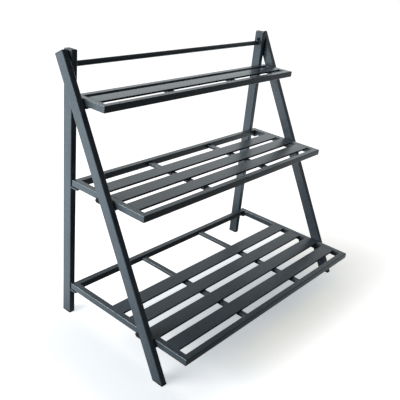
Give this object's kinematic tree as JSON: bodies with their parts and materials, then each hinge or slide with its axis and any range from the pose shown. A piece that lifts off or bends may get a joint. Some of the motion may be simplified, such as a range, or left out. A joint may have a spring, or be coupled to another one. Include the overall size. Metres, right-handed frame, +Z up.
{
  "type": "ladder plant stand",
  "caption": "Ladder plant stand with upright rear legs, slanted front legs that turn on bolts, and lift-off slatted shelves that get deeper towards the floor.",
  "frame": {"origin": "on the floor, under the middle of the whole stand", "axes": "+X along the shelves, towards the right end; +Y to the rear; +Z up"},
  "size_m": [0.946, 0.5428, 0.845],
  "materials": {
    "leg_coat": "fine-textured anthracite powder coat, satin",
    "shelf_coat": "fine-textured anthracite powder coat, satin",
    "cap_plastic": "dark grey moulded plastic, satin",
    "foot_plastic": "black moulded plastic, matt",
    "pad_rubber": "black moulded rubber, matt",
    "bolt_steel": "black oxide, satin",
    "zinc_steel": "zinc plated"
  },
  "bodies": {
    "rear_frame": {"rear_left_leg": "leg_coat", "rear_right_leg": "leg_coat", "cross_bar": "leg_coat", "rear_caps": "cap_plastic", "rear_feet": "foot_plastic", "pivot_sleeves": "zinc_steel", "lower_left_ledge": "leg_coat", "lower_right_ledge": "leg_coat", "middle_left_ledge": "leg_coat", "middle_right_ledge": "leg_coat", "upper_left_ledge": "leg_coat", "upper_right_ledge": "leg_coat", "ledge_pads": "pad_rubber"},
    "left_front_leg": {"left_slanted_leg": "leg_coat", "left_slanted_cap": "cap_plastic", "left_slanted_foot": "foot_plastic", "left_leg_bolt": "bolt_steel", "left_leg_washer": "foot_plastic", "left_weld_nut": "zinc_steel", "left_lower_rest": "leg_coat", "left_middle_rest": "leg_coat", "left_rest_boots": "pad_rubber", "left_side_buffers": "pad_rubber"},
    "right_front_leg": {"right_slanted_leg": "leg_coat", "right_slanted_cap": "cap_plastic", "right_slanted_foot": "foot_plastic", "right_leg_bolt": "bolt_steel", "right_leg_washer": "foot_plastic", "right_weld_nut": "zinc_steel", "right_lower_rest": "leg_coat", "right_middle_rest": "leg_coat", "right_rest_boots": "pad_rubber", "right_side_buffers": "pad_rubber"},
    "lower_shelf": {"lower_front_rail": "shelf_coat", "lower_rear_rail": "shelf_coat", "lower_left_rail": "shelf_coat", "lower_right_rail": "shelf_coat", "lower_left_support": "shelf_coat", "lower_right_support": "shelf_coat", "lower_slat_1": "shelf_coat", "lower_slat_2": "shelf_coat", "lower_slat_3": "shelf_coat", "lower_slat_4": "shelf_coat"},
    "middle_shelf": {"middle_front_rail": "shelf_coat", "middle_rear_rail": "shelf_coat", "middle_left_rail": "shelf_coat", "middle_right_rail": "shelf_coat", "middle_left_support": "shelf_coat", "middle_right_support": "shelf_coat", "middle_slat_1": "shelf_coat", "middle_slat_2": "shelf_coat", "middle_slat_3": "shelf_coat"},
    "upper_shelf": {"upper_front_rail": "shelf_coat", "upper_rear_rail": "shelf_coat", "upper_left_rail": "shelf_coat", "upper_right_rail": "shelf_coat", "upper_left_support": "shelf_coat", "upper_right_support": "shelf_coat", "upper_slat_1": "shelf_coat"}
  },
  "joints": [
    {"name": "left_leg_fold", "type": "hinge", "parent": "rear_frame", "child": "left_front_leg", "pos_m": [-0.463, 0.24607, 0.817], "axis": [1, 0, 0], "range_deg": [0, 16]},
    {"name": "right_leg_fold", "type": "hinge", "parent": "rear_frame", "child": "right_front_leg", "pos_m": [0.463, 0.24607, 0.817], "axis": [1, 0, 0], "range_deg": [0, 16]},
    {"name": "lower_shelf_lift", "type": "slide", "parent": "rear_frame", "child": "lower_shelf", "axis": [0, 0, 1], "range_m": [0, 0.06]},
    {"name": "middle_shelf_lift", "type": "slide", "parent": "rear_frame", "child": "middle_shelf", "axis": [0, 0, 1], "range_m": [0, 0.06]},
    {"name": "upper_shelf_lift", "type": "slide", "parent": "rear_frame", "child": "upper_shelf", "axis": [0, 0, 1], "range_m": [0, 0.06]}
  ]
}
